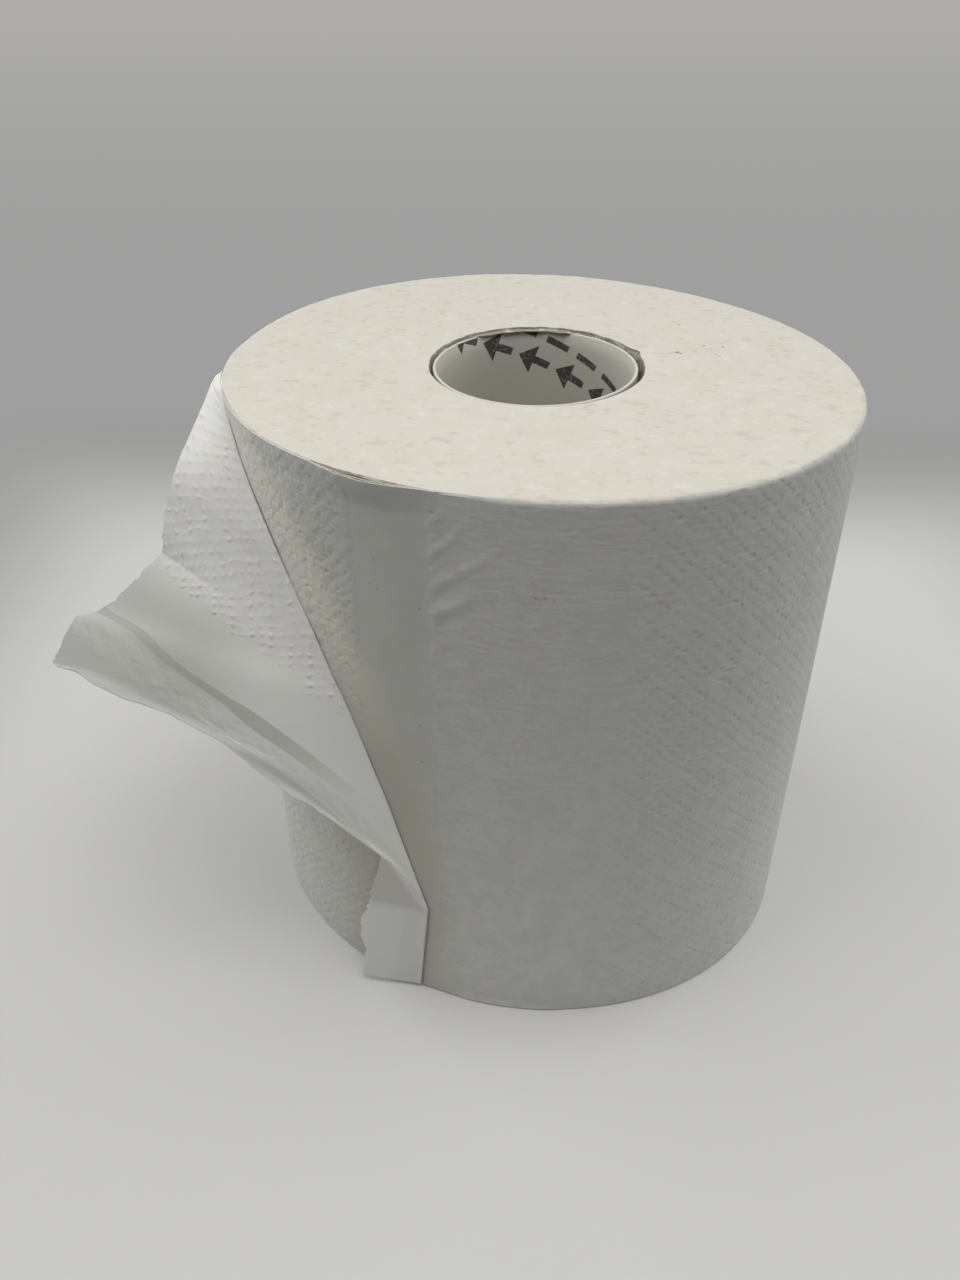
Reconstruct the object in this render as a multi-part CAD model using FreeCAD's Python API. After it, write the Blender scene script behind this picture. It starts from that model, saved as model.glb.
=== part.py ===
"""A centre-feed paper hand towel roll on its card core, with the tail of the web folded back.

Millimetres, +Z up. The origin is on the roll's axis, on the surface that the roll stands on.
Azimuths are degrees anticlockwise from +X, seen from above, and the tail stands off the -X side.
The web is as wide as the roll is tall, so places along the tail's folds and edges are given as
shares of the web's width, measured down from the top rim.
"""

import FreeCAD, Part
import math
import os

# The wound roll, which has gone slightly out of round.
ROLL_RADIUS = 95.0
ROLL_HEIGHT = 198.0
OVAL = 4.2
EGG = 1.0
SQUASH_AZIMUTH = -26.0
FULL_TURN = 360.0

# The card tube that the web is wound on.
CORE_BORE_RADIUS = 30.0
CORE_WALL = 1.0
CORE_RECESS = 2.0
CORE_RADIUS = CORE_BORE_RADIUS + CORE_WALL

# The mouth of the web round the core, spread and torn where fingers have reached in.
MOUTH_SPREAD = 2.0
MOUTH_DEPTH = 5.0
MOUTH_TEAR = 0.7
MOUTH_TEARS_ROUND = 9
POINTS_PER_TEAR = 4

# The web's thickness with its embossing, and how deep the outermost turn is keyed into the rest.
WEB_THICKNESS = 0.6
PLY_KEY = 0.3

# The outermost turns that have sprung away from the wound ones along the top rim.
LOOSE_PLY = 0.9
LOOSE_GAP = 0.7
LOOSE_DEPTH = 7.0
LOOSE_START = -131.0
LOOSE_END = -98.0

# The slanting fold where the outermost turn doubles back, from the top rim down to its foot:
# (azimuth, share of the web's width below the rim).
FOLD = [
    (-163.0, 0.005),
    (-158.0, 0.035),
    (-151.0, 0.095),
    (-143.0, 0.170),
    (-133.0, 0.295),
    (-129.5, 0.352),
    (-127.0, 0.390),
    (-124.0, 0.445),
    (-121.5, 0.500),
    (-118.5, 0.565),
    (-115.5, 0.645),
    (-113.0, 0.715),
    (-110.5, 0.765),
    (-110.3, 0.785),
    (-113.0, 0.996),
]

# The free edge of the tail that goes with each point of the fold:
# (azimuth, share of the web's width below the rim, stand-off from the wall).
FREE_EDGE = [
    (-171.0, 0.010, 2.4),
    (-169.0, 0.040, 6.0),
    (-162.0, 0.105, 17.0),
    (-161.0, 0.180, 23.0),
    (-160.0, 0.237, 26.0),
    (-157.3, 0.293, 44.6),
    (-156.4, 0.302, 54.7),
    (-154.6, 0.343, 63.5),
    (-151.4, 0.383, 52.5),
    (-144.0, 0.470, 31.0),
    (-136.0, 0.575, 13.5),
    (-119.0, 0.682, 2.8),
    (-121.0, 0.740, 3.8),
    (-123.0, 0.806, 5.0),
    (-124.7, 0.992, 7.7),
]

# Where along these lists the tail bends sharply across its width: the edge of the embossing,
# its torn corner, and the two sides of the small gusset above the bottom flap.
BENDS = [4, 7, 11, 13]

# How finely the curves are sampled: round a full turn, along the outermost turn as far as
# the fold, along the gap behind the loosened turns, and from one bend of the tail to the next.
POINTS_PER_TURN = 24
POINTS_PER_PLY = 6
POINTS_PER_GAP = 4
RIBS_PER_BEND = 6


def outline_radius(azimuth):
    """The radius of the outermost turn."""
    lean = math.radians(azimuth - SQUASH_AZIMUTH)
    return ROLL_RADIUS + OVAL * math.cos(2 * lean) + EGG * math.cos(3 * lean)


def polar(azimuth, radius, height):
    """The point at that azimuth, distance from the axis and height."""
    angle = math.radians(azimuth)
    return FreeCAD.Vector(radius * math.cos(angle), radius * math.sin(angle), height)


def height_at(share):
    """The height of a place that lies that share of the web's width below the rim."""
    return ROLL_HEIGHT * (1.0 - share)


def curve(points):
    """A smooth open edge through the points."""
    spline = Part.BSplineCurve()
    spline.interpolate(points)
    return spline.toShape()


def closed_curve(points):
    """A smooth closed wire through the points."""
    spline = Part.BSplineCurve()
    spline.interpolate(Points=points, PeriodicFlag=True)
    return Part.Wire(spline.toShape())


def arc_points(start, end, count, radius_of, height):
    """Points from one azimuth to another, at the radius that the function gives."""
    step = (end - start) / count
    azimuths = [start + step * i for i in range(count + 1)]
    return [polar(azimuth, radius_of(azimuth), height) for azimuth in azimuths]


def wound_turns():
    """The wound turns: a spiral that steps in by one sheet where the outermost turn begins."""
    start = FOLD[0][0]

    def spiral_radius(azimuth):
        share_of_turn = (azimuth - start) / FULL_TURN
        return outline_radius(azimuth) - WEB_THICKNESS * (1.0 - share_of_turn)

    points = arc_points(start, start + FULL_TURN, POINTS_PER_TURN, spiral_radius, 0.0)
    outline = Part.Wire([curve(points), Part.makeLine(points[-1], points[0])])
    return Part.Face(outline).extrude(FreeCAD.Vector(0, 0, ROLL_HEIGHT))


def core_space():
    """The space that the core fills, and the mouth above it with its torn, uneven edge."""
    shaft = Part.makeCylinder(CORE_RADIUS, ROLL_HEIGHT)

    def torn_radius(azimuth):
        tear = MOUTH_TEAR * math.sin(math.radians(MOUTH_TEARS_ROUND * azimuth))
        return CORE_RADIUS + MOUTH_SPREAD + tear

    throat = Part.Wire(Part.makeCircle(CORE_RADIUS, FreeCAD.Vector(0, 0, ROLL_HEIGHT - MOUTH_DEPTH)))
    points = arc_points(0.0, FULL_TURN, POINTS_PER_TEAR * MOUTH_TEARS_ROUND, torn_radius, ROLL_HEIGHT)
    return shaft.fuse(Part.makeLoft([throat, closed_curve(points[:-1])], True, True))


def loose_gap():
    """The crescent gap behind the outermost turns, where they have sprung off the top rim."""

    def outer_radius(azimuth):
        return outline_radius(azimuth) - WEB_THICKNESS - LOOSE_PLY

    def inner_radius(azimuth):
        share = (azimuth - LOOSE_START) / (LOOSE_END - LOOSE_START)
        return outer_radius(azimuth) - LOOSE_GAP * math.sin(math.pi * share)

    base = ROLL_HEIGHT - LOOSE_DEPTH
    outer = curve(arc_points(LOOSE_START, LOOSE_END, POINTS_PER_GAP, outer_radius, base))
    inner = curve(arc_points(LOOSE_START, LOOSE_END, POINTS_PER_GAP, inner_radius, base))
    return Part.Face(Part.Wire([outer, inner])).extrude(FreeCAD.Vector(0, 0, LOOSE_DEPTH))


def outermost_turn():
    """The outermost turn between its step on the wound ones and the fold."""
    start = FOLD[0][0]
    end = max(azimuth for azimuth, share in FOLD)

    def inner_radius(azimuth):
        return outline_radius(azimuth) - WEB_THICKNESS - PLY_KEY

    outer = arc_points(start, end, POINTS_PER_PLY, outline_radius, 0.0)
    inner = arc_points(start, end, POINTS_PER_PLY, inner_radius, 0.0)
    ring = Part.Wire([
        curve(outer),
        Part.makeLine(outer[-1], inner[-1]),
        curve(inner),
        Part.makeLine(inner[0], outer[0]),
    ])
    ply = Part.Face(ring).extrude(FreeCAD.Vector(0, 0, ROLL_HEIGHT))
    return ply.common(left_of_fold())


def left_of_fold():
    """A block that holds all on the tail's side of the fold: its front outline, carried back to X."""
    front = -2.0 * ROLL_RADIUS
    fold = []
    for azimuth, share in FOLD:
        on_wall = polar(azimuth, outline_radius(azimuth), height_at(share))
        fold.append(FreeCAD.Vector(on_wall.x, front, on_wall.z))
    top = FreeCAD.Vector(fold[0].x, front, ROLL_HEIGHT)
    foot = FreeCAD.Vector(fold[-1].x, front, 0.0)
    far_corners = [FreeCAD.Vector(front, front, 0.0), FreeCAD.Vector(front, front, ROLL_HEIGHT)]
    outline = Part.makePolygon([top, *fold, foot, *far_corners, top])
    return Part.Face(outline).extrude(FreeCAD.Vector(0, -front, 0))


def on_fold(azimuth, share):
    """A point of the fold: it lies under the outermost turn, so that the tail grows out of it."""
    return polar(azimuth, outline_radius(azimuth) - WEB_THICKNESS, height_at(share))


def off_wall(azimuth, share, stand_off):
    """A point of the tail's free edge."""
    return polar(azimuth, outline_radius(azimuth) + stand_off, height_at(share))


def stations(points):
    """Evenly spaced points on the smooth curve through the given ones."""
    return curve(points).discretize(Number=RIBS_PER_BEND)


def tail_ribs():
    """Pairs of points, one on the fold and one on the free edge, from the rim to the foot."""
    folds = [on_fold(*place) for place in FOLD]
    frees = [off_wall(*place) for place in FREE_EDGE]
    foot = len(FOLD) - 1
    ribs = []
    for first, last in zip([0, *BENDS], [*BENDS, foot]):
        pairs = list(zip(stations(folds[first:last + 1]), stations(frees[first:last + 1])))
        ribs.extend(pairs if last == foot else pairs[:-1])
    return ribs


def tail():
    """The folded-back tail: the sheet's thin section carried along its ribs."""
    ribs = tail_ribs()
    sections = []
    for index, (fold, free) in enumerate(ribs):
        above = ribs[max(index - 1, 0)]
        below = ribs[min(index + 1, len(ribs) - 1)]
        down = (below[0] - above[0]) + (below[1] - above[1])
        half = (free - fold).cross(down).normalize() * (WEB_THICKNESS / 2.0)
        corners = [fold - half, free - half, free + half, fold + half]
        sections.append(Part.makePolygon([*corners, corners[0]]))
    return Part.makeLoft(sections, True, True)


def paper_roll():
    """The web: its wound turns, its outermost turn and the tail, all one sheet of paper."""
    wound = wound_turns().cut(core_space()).cut(loose_gap())
    return wound.fuse(outermost_turn()).fuse(tail())


def core_tube():
    """The card tube, a little shorter than the web is wide."""
    length = ROLL_HEIGHT - CORE_RECESS
    return Part.makeCylinder(CORE_RADIUS, length).cut(Part.makeCylinder(CORE_BORE_RADIUS, length))


def main():
    """Builds each node and writes it to its STEP file."""
    os.makedirs("parts", exist_ok=True)
    for name, solid in {"paper_roll": paper_roll(), "core_tube": core_tube()}.items():
        print(name, solid.isValid(), len(solid.Solids), round(solid.Volume))
        solid.exportStep(f"parts/{name}.step")


main()
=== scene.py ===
"""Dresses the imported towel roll: its embossed web, the folded-back tail and the card core.

Metres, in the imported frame: the roll's axis is on Z, its foot on Z = 0, and the tail stands off -X.
Azimuths are degrees anticlockwise from +X, seen from above. Places on the web are (along, down):
the distance along the web, measured round the wall from the azimuth of -180, and the distance
below the top rim.
"""

from math import atan2, cos, degrees, exp, hypot, pi, radians, sin

import bpy
from mathutils import Matrix, Vector, noise


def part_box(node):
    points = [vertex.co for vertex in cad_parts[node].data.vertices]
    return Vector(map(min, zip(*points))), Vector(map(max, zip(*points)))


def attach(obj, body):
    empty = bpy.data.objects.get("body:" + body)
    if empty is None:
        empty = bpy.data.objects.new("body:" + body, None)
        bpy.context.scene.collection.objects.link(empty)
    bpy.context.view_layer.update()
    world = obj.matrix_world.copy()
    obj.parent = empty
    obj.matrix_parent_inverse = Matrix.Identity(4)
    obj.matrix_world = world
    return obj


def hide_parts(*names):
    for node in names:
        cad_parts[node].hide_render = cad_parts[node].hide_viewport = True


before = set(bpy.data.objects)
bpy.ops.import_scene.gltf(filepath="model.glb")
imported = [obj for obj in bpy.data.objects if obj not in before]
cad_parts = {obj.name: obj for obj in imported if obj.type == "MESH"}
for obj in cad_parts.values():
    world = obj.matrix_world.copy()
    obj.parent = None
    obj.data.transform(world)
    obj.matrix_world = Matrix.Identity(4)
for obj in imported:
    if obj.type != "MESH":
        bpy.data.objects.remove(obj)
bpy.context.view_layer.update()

MM = 0.001
FULL_TURN = 360.0

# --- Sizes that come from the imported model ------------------

_, ROLL_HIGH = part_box("paper_roll")
_, CORE_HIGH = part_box("core_tube")
WIDTH = ROLL_HIGH.z
CORE_RADIUS = CORE_HIGH.x
CORE_TOP = CORE_HIGH.z + 1.3 * MM

# The roll's outline, which is slightly out of round.
OVAL = 4.2 * MM
EGG = 1.0 * MM
SQUASH_AZIMUTH = -26.0

# The paper and the card.
PLY = 0.3 * MM
CORE_WALL = 1.0 * MM
CORE_FLARE = 0.9 * MM
MOUTH_SPREAD = 2.5 * MM
MOUTH_DEPTH = 14.0 * MM

# How far along the web its end edge lies, and the strips beside that edge.
WEB_END = 134.0 * MM
WRINKLED_STRIP = (9.5 * MM, 19.5 * MM)
GLUE_LINE = 20.6 * MM
GLUE_WIDTH = 2.8 * MM
STRIP_DRIFT = 2.1 * MM
EMBOSSED_FROM = 43.5 * MM

# The smooth band that the end of the web left on the wall.
BAND_START = -122.0
BAND_END = -107.0

# The loosened turns along the top rim.
LOOSE_START = -166.0
LOOSE_END = -103.0
LOOSE_DEPTH = 9.0 * MM


def bulge(azimuth):
    """How far the outline lies outside a true circle."""
    lean = radians(azimuth - SQUASH_AZIMUTH)
    return OVAL * cos(2 * lean) + EGG * cos(3 * lean)


def mean_radius():
    """The circle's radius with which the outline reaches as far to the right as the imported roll."""
    radius = ROLL_HIGH.x
    for _ in range(4):
        reach = max((radius + bulge(a)) * cos(radians(a)) for a in range(-40, 41))
        radius += ROLL_HIGH.x - reach
    return radius


ROLL_RADIUS = mean_radius()


def outline(azimuth):
    """The wall's radius at that azimuth."""
    return ROLL_RADIUS + bulge(azimuth)


def along_at(azimuth):
    """The distance along the web at which it passes that azimuth."""

    def turned(angle):
        lean = radians(angle - SQUASH_AZIMUTH)
        wave = OVAL * sin(2 * lean) / 2 + EGG * sin(3 * lean) / 3
        return ROLL_RADIUS * radians(angle) + wave

    return turned(azimuth) - turned(-180.0)


def polar(azimuth, radius, height):
    """The point at that azimuth, distance from the axis and height."""
    angle = radians(azimuth)
    return Vector((radius * cos(angle), radius * sin(angle), height))


def azimuth_of(point):
    """The azimuth at which a point lies."""
    return degrees(atan2(point.y, point.x))


def ease(value, start, end):
    """0 before start, 1 after end and a smooth rise between them."""
    share = min(max((value - start) / (end - start), 0.0), 1.0)
    return share * share * (3 - 2 * share)


def within(value, start, end, soft):
    """1 between start and end, 0 outside them, with soft sides."""
    return ease(value, start - soft, start + soft) * (1 - ease(value, end - soft, end + soft))


def rough(x, y, seed):
    """Smooth noise from -1 to 1 over two coordinates."""
    return noise.noise(Vector((x, y, seed)))


def swell(layers, x, y=0.0):
    """Smooth noise in layers of (height, length in x, length in y, seed), added up."""
    return sum(height * rough(x / wide, y / tall, seed) for height, wide, tall, seed in layers)


# --- Making pieces ------------------------------------------


def select_only(piece):
    """Only this piece is selected, and it is the active one."""
    bpy.ops.object.select_all(action="DESELECT")
    piece.select_set(True)
    bpy.context.view_layer.objects.active = piece


def edit(piece):
    """The piece is open in edit mode, with all of it selected."""
    select_only(piece)
    bpy.ops.object.mode_set(mode="EDIT")
    bpy.ops.mesh.select_all(action="SELECT")


def turned_piece(name, corners, steps):
    """A section drawn through the corners (radius, height, steps to the next) and spun into a ring."""
    bpy.ops.mesh.primitive_plane_add(size=MM)
    piece = bpy.context.object
    piece.name = name
    edit(piece)
    bpy.ops.mesh.merge(type="CENTER")
    radius, height, _ = corners[0]
    bpy.ops.transform.translate(value=(radius, 0, height))
    for (radius, height, count), (next_radius, next_height, _) in zip(corners, corners[1:]):
        step = ((next_radius - radius) / count, 0, (next_height - height) / count)
        for _ in range(count):
            bpy.ops.mesh.extrude_region_move(TRANSFORM_OT_translate={"value": step})
    bpy.ops.mesh.select_all(action="SELECT")
    bpy.ops.mesh.spin(steps=steps, angle=2 * pi, center=(0, 0, 0), axis=(0, 0, 1))
    bpy.ops.mesh.select_all(action="SELECT")
    bpy.ops.mesh.remove_doubles(threshold=0.002 * MM)
    bpy.ops.mesh.normals_make_consistent(inside=False)
    bpy.ops.object.mode_set(mode="OBJECT")
    return piece


def grid_piece(name, columns, rows, place, web_place):
    """A sheet of columns by rows, with its corners at place(i, j) and mapped by web_place(i, j)."""
    bpy.ops.mesh.primitive_grid_add(x_subdivisions=columns, y_subdivisions=rows, size=1.0)
    piece = bpy.context.object
    piece.name = name
    mesh = piece.data
    web = mesh.uv_layers.active
    web.name = "web"
    spots = [(round((v.co.x + 0.5) * columns), round((v.co.y + 0.5) * rows)) for v in mesh.vertices]
    for vertex, spot in zip(mesh.vertices, spots):
        vertex.co = place(*spot)
    for loop in mesh.loops:
        web.data[loop.index].uv = web_place(*spots[loop.vertex_index])
    return piece


def map_round(piece, name, end, spot):
    """Maps each corner by spot(azimuth, height). The map is cut open at the azimuth of its end."""
    mesh = piece.data
    layer = mesh.uv_layers.new(name=name)
    for face in mesh.polygons:
        middle = azimuth_of(face.center)
        if middle > end:
            middle -= FULL_TURN
        for index in face.loop_indices:
            place = mesh.vertices[mesh.loops[index].vertex_index].co
            azimuth = azimuth_of(place)
            azimuth += FULL_TURN * round((middle - azimuth) / FULL_TURN)
            layer.data[index].uv = spot(azimuth, place.z)


def thicken(piece, thickness):
    """Gives a sheet its thickness, half of it to each side."""
    select_only(piece)
    modifier = piece.modifiers.new("thickness", "SOLIDIFY")
    modifier.thickness = thickness
    modifier.offset = 0.0
    bpy.ops.object.modifier_apply(modifier=modifier.name)


def join(piece, other):
    """Makes the other piece part of this one."""
    select_only(piece)
    other.select_set(True)
    bpy.ops.object.join()


def smooth(piece, sharpest=40.0):
    """Shades the piece smooth, with edges sharper than that kept sharp."""
    select_only(piece)
    bpy.ops.object.shade_smooth_by_angle(angle=radians(sharpest))


# --- The wound roll -----------------------------------------

TURN_STEPS = 420
WALL_STEPS = 150
TOP_STEPS = 26
CROWDING = 0.45  # how closely the steps crowd towards the front
FRONT_AZIMUTH = -105.0
RIM_ROUND = 1.8 * MM
FOOT_ROUND = 0.6 * MM
RIM_STEPS = 5

# How far the top edge of the wall is pressed in behind the loosened turns, how far the band is
# pressed in, and how far the wall stands out at its foot below the band.
RECESS = 0.1 * MM
BAND_DEPTH = 0.18 * MM
FOOT_SWELL = 0.5 * MM
FOOT_START, FOOT_END = -103.0, -82.0

# Swells and dents, as (height, length one way, length the other way, seed): of the wall, of the
# strip beside the band, of the rim's right side, of the end face and of the torn mouth, where
# lengths round the roll are degrees.
WALL_SWELLS = [(0.35 * MM, 60 * MM, 75 * MM, 1.0), (0.12 * MM, 16 * MM, 22 * MM, 2.0)]
BESIDE_SWELLS = [(0.10 * MM, 3 * MM, 2.2 * MM, 3.0)]
RIM_SWELLS = [(0.22 * MM, 3.5 * MM, 1.0, 8.0)]
FACE_SWELLS = [(0.20 * MM, 30 * MM, 30 * MM, 6.0), (0.10 * MM, 9 * MM, 12 * MM, 7.0)]
MOUTH_TEARS = [(0.6 * MM, 9.0, 1.0, 4.0), (0.3 * MM, 3.0, 1.0, 5.0)]

# Creases in the wall beside the smooth band, where the turns were pulled and glued:
# (distance past the band, distance below the rim, length, slant in degrees, width, height). All
# but the slant are millimetres, and the heights are raised by the gain.
CREASE_GAIN = 1.7
CREASES = [
    (0.0, 10.5, 10.0, 48.0, 1.2, 0.13),
    (7.0, 10.5, 11.0, 46.0, 1.3, 0.13),
    (-0.5, 20.0, 18.0, 47.0, 1.5, 0.24),
    (3.5, 14.5, 8.0, 52.0, 1.2, -0.14),
    (0.3, 29.0, 29.0, 37.0, 1.5, 0.22),
    (1.5, 31.5, 14.0, 36.0, 1.3, -0.14),
    (0.3, 37.0, 17.0, 31.0, 2.2, 0.34),
    (2.0, 40.5, 12.0, 30.0, 1.6, -0.16),
    (0.0, 48.0, 8.0, 30.0, 1.3, 0.14),
    (12.0, 29.0, 9.0, 8.0, 1.3, 0.10),
    (18.0, 33.0, 7.0, 4.0, 1.3, 0.10),
    (1.0, 56.0, 7.0, 16.0, 1.2, 0.12),
    (1.0, 65.0, 7.0, 12.0, 1.2, 0.10),
    (7.0, 69.0, 9.0, 6.0, 1.3, 0.08),
    (1.5, 77.0, 8.0, 8.0, 1.2, 0.08),
    (1.0, 90.0, 8.0, 5.0, 1.2, 0.06),
]


def loosened(azimuth):
    """How far the outermost turns have sprung off at that azimuth: 0 at the ends, up to 1."""
    main = within(azimuth, -126.0, -112.0, 7.0)
    return max(main, 0.15 * within(azimuth, LOOSE_START + 5, LOOSE_END - 5, 5.0))


def crease_height(along, down):
    """The creases beside the smooth band, as a height above the wall."""
    height = 0.0
    band_end = along_at(BAND_END)
    for past, below, length, slant, width, rise in CREASES:
        across = along - band_end - past * MM
        drop = down - below * MM
        angle = radians(slant)
        run = across * cos(angle) - drop * sin(angle)
        side = across * sin(angle) + drop * cos(angle)
        share = run / (length * MM)
        if not -0.1 < share < 1.1 or abs(side) > 4 * width * MM:
            continue
        fade = ease(share, -0.1, 0.15) * (1 - ease(share, 0.35, 1.1))
        height += CREASE_GAIN * rise * MM * fade * exp(-((side / (width * MM / 1.6)) ** 2))
    return height


def wall_relief(azimuth, height):
    """The wall's dents, creases and the smooth band, as a height above the plain outline."""
    along = along_at(azimuth)
    down = WIDTH - height
    relief = swell(WALL_SWELLS, along, down)
    relief -= BAND_DEPTH * within(azimuth, BAND_START, BAND_END, 0.5)
    beside = within(along, along_at(BAND_START) - 12 * MM, along_at(BAND_START), 3 * MM)
    relief += beside * swell(BESIDE_SWELLS, along, down)
    relief += crease_height(along, down)
    relief -= RECESS * loosened(azimuth) * ease(down, LOOSE_DEPTH, RIM_ROUND)
    right_rim = (1 - ease(down, 0.0, 5.0 * MM)) * ease(azimuth, -80.0, -50.0)
    relief += right_rim * swell(RIM_SWELLS, along)
    foot = within(azimuth, FOOT_START, FOOT_END, 4.0)
    relief += FOOT_SWELL * foot * (1 - ease(height, 0.0, 3.0 * MM))
    return relief


def torn_mouth(azimuth):
    """How far the mouth's lip lies outside its circle: torn at the back, notched on the right."""
    back = within(azimuth, 35.0, 150.0, 15.0)
    tear = back * swell(MOUTH_TEARS, azimuth)
    side = 0.45 * MM * cos(radians(azimuth - 5.0))
    notch = 1.5 * MM * exp(-(((azimuth - 20.0) / 4.5) ** 2))
    return tear + side + notch + 0.06 * MM * rough(azimuth / 6.0, 1.0, 5.0)


def rim_corner(azimuth, radius, height):
    """A point of the rim's rounding, drawn out to a sharp corner where the rim is sharp."""
    out = radius - (ROLL_RADIUS - RIM_ROUND)
    rise = height - (WIDTH - RIM_ROUND)
    if min(out, rise) <= 0:
        return radius, height
    sharp = within(azimuth if azimuth < 90 else azimuth - FULL_TURN, -188.0, -97.0, 4.0)
    stretch = sharp * (RIM_ROUND / max(out, rise) - 1)
    return radius + out * stretch, height + rise * stretch


def settle(point):
    """Where a point of the evenly turned roll comes to lie on the real one."""
    radius = hypot(point.x, point.y)
    even = azimuth_of(point)
    azimuth = even + degrees(CROWDING * sin(radians(FRONT_AZIMUTH - even)))
    across = (radius - CORE_RADIUS) / (ROLL_RADIUS - CORE_RADIUS)
    radius, height = rim_corner(azimuth, radius, point.z)
    if across > 0.98 or point.z < 0.5 * MM:
        relief = wall_relief(azimuth, min(height, WIDTH - RIM_ROUND))
        radius += across * bulge(azimuth) + across * relief
    elif across > 0.0:
        edge = bulge(azimuth) + wall_relief(azimuth, WIDTH - RIM_ROUND) * ease(across, 0.9, 0.98)
        radius += across * edge
        spread = ease(height, WIDTH - MOUTH_DEPTH, WIDTH - 0.8 * MOUTH_DEPTH)
        radius += torn_mouth(azimuth) * ((1 - ease(across, 0.02, 0.12)) * spread)
    if height > WIDTH - 0.5 * MM:
        place = polar(azimuth, radius, height)
        height += swell(FACE_SWELLS, place.x, place.y)
        height -= 0.25 * MM * (1 - ease(across, 0.0, 0.1))
    return polar(azimuth, radius, height)


def make_roll():
    """The wound turns as one closed piece, with a web map on the wall."""
    throat = CORE_RADIUS + 0.05 * MM
    lip = CORE_RADIUS + MOUTH_SPREAD
    rim = []
    for step in range(RIM_STEPS):
        angle = pi / 2 * step / RIM_STEPS
        out, rise = RIM_ROUND * (1 - sin(angle)), RIM_ROUND * (1 - cos(angle))
        rim.append((ROLL_RADIUS - out, WIDTH - rise, 1))
    corners = [
        (throat, 0.3 * MM, 1),
        (throat, WIDTH - MOUTH_DEPTH, 1),
        (lip - 0.6 * MM, WIDTH - 0.8 * MOUTH_DEPTH, 2),
        (lip - 0.2 * MM, WIDTH - 0.6 * MM, 1),
        (lip, WIDTH, TOP_STEPS),
        *rim,
        (ROLL_RADIUS, WIDTH - RIM_ROUND, WALL_STEPS),
        (ROLL_RADIUS, FOOT_ROUND, 1),
        (ROLL_RADIUS - FOOT_ROUND, 0.0, 4),
        (throat, 0.0, 1),
        (throat, 0.3 * MM, 1),
    ]
    roll = turned_piece("roll_body", corners, TURN_STEPS)
    for vertex in roll.data.vertices:
        vertex.co = settle(vertex.co)
    map_round(roll, "web", 0.0, lambda azimuth, height: (along_at(azimuth), WIDTH - height))
    smooth(roll)
    return roll


# --- The loosened turns at the rim --------------------------

LOOSE_PLY = 0.25 * MM
MOUTH_PLY_START, MOUTH_PLY_SPAN = 28.0, 132.0

# (name, how far it stands off, how far it has dropped, seed of its ragged edge).
LOOSE_TURNS = [("inner_turn", 1.3 * MM, 0.1 * MM, 31.0), ("outer_turn", 1.9 * MM, 0.3 * MM, 32.0)]


def make_loose_turn(name, lift, drop, seed):
    """One of the turns that have sprung off the rim: a thin strip that leans away from the wall."""
    columns, rows = 220, 12

    def place(i, j):
        azimuth = LOOSE_START + (LOOSE_END - LOOSE_START) * i / columns
        sprung = loosened(azimuth)
        lowered = (drop + 0.2 * MM * rough(azimuth / 2.1, 0.0, seed)) * sprung
        share = j / rows
        height = WIDTH - LOOSE_DEPTH - 1.0 * MM + (LOOSE_DEPTH + 1.0 * MM - lowered) * share
        out = (lift * sprung + 0.2 * MM) * ease(share, 0.05, 1.0) - 0.19 * MM
        ends = within(azimuth, LOOSE_START + 1.5, LOOSE_END - 1.5, 1.5)
        out = out * ends - 0.5 * MM * (1 - ends)
        ripple = 0.25 * MM * sprung * share * rough(azimuth / 4.0, 1.0, seed)
        return polar(azimuth, outline(azimuth) + wall_relief(azimuth, height) + out + ripple, height)

    def web_place(i, j):
        azimuth = LOOSE_START + (LOOSE_END - LOOSE_START) * i / columns
        return along_at(azimuth), WIDTH - place(i, j).z

    turn = grid_piece(name, columns, rows, place, web_place)
    thicken(turn, LOOSE_PLY)
    smooth(turn)
    return turn


def make_mouth_ply():
    """The innermost turn, which stands up ragged behind the core's rim where the mouth is torn."""
    columns, rows = 160, 12

    def place(i, j):
        azimuth = MOUTH_PLY_START + MOUTH_PLY_SPAN * i / columns
        ends = within(azimuth, 38.0, 150.0, 9.0)
        over = within(azimuth, 66.0, 128.0, 7.0)
        ragged = 0.7 * MM * rough(azimuth / 5.0, 0.0, 41.0) + 0.5 * MM * rough(azimuth / 1.6, 0.0, 42.0)
        top = WIDTH - 0.8 * MM + ragged - 8.0 * MM * (1 - ends)
        top += over * (CORE_TOP + 0.3 * MM + 0.3 * ragged - top)
        foot = WIDTH - 12.0 * MM
        share = j / rows
        height = foot + min(share / 0.8, 1.0) * (top - foot)
        lean = (0.8 + 0.4 * rough(azimuth / 11.0, 2.0, 43.0)) * MM * share
        lean -= over * (2.6 * MM + ragged) * ease(share, 0.8, 1.0)
        return polar(azimuth, CORE_RADIUS + 0.6 * MM + lean, height)

    ply = grid_piece("mouth_ply", columns, rows, place, lambda i, j: (0.001 * i, 0.001 * j))
    thicken(ply, LOOSE_PLY)
    smooth(ply)
    return ply


# --- The folded-back tail -----------------------------------

# The slanting fold, from the rim to its foot: (azimuth, share of the web's width below the rim).
FOLD = [
    (-165.0, 0.001), (-163.0, 0.005), (-158.0, 0.035), (-151.0, 0.095),
    (-143.0, 0.170), (-133.0, 0.295), (-129.5, 0.352), (-127.0, 0.390),
    (-124.0, 0.445), (-121.5, 0.500), (-118.5, 0.565), (-115.5, 0.645),
    (-111.2, 0.762), (-110.7, 0.775), (-110.3, 0.785), (-113.0, 0.990),
]

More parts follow.
